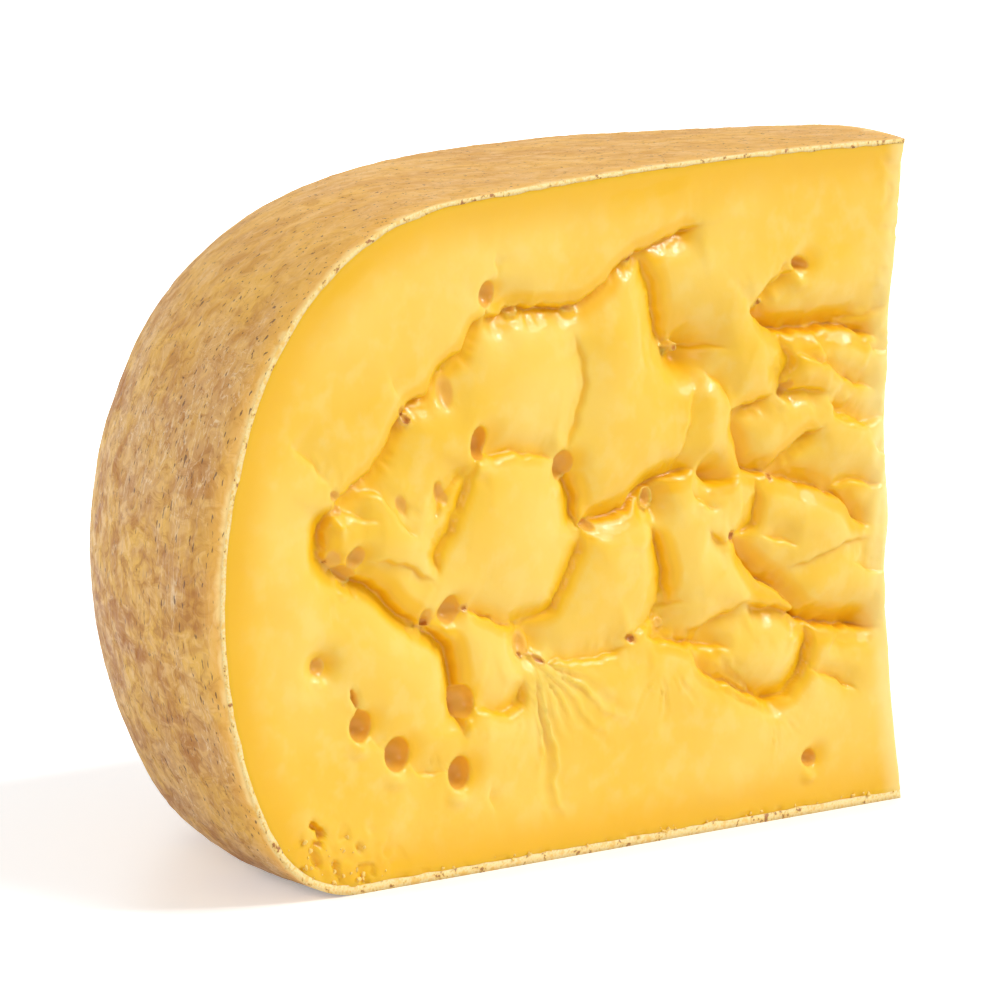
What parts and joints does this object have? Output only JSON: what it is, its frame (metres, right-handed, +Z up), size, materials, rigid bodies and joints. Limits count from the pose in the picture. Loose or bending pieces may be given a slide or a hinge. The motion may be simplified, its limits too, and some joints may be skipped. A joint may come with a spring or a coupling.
{
  "type": "gruyere cheese piece",
  "caption": "Wedge cut from a small wheel of hard mountain cheese: brown washed rind on a bulging rim, straight yellow cut face with eyes, seams and pressed plates.",
  "frame": {"origin": "on the table, under the middle of the piece's bounding box", "axes": "+Z up out of the flat underside; the cut face with the eyes looks along -Y, its nose at +X and the rim at -X"},
  "size_m": [0.21, 0.1122, 0.1098],
  "materials": {
    "paste": "moist pressed cheese paste, faintly translucent",
    "rind": "dry brown washed rind, pitted and streaked"
  },
  "bodies": {
    "root": {"cheese_piece": "paste"}
  },
  "joints": []
}
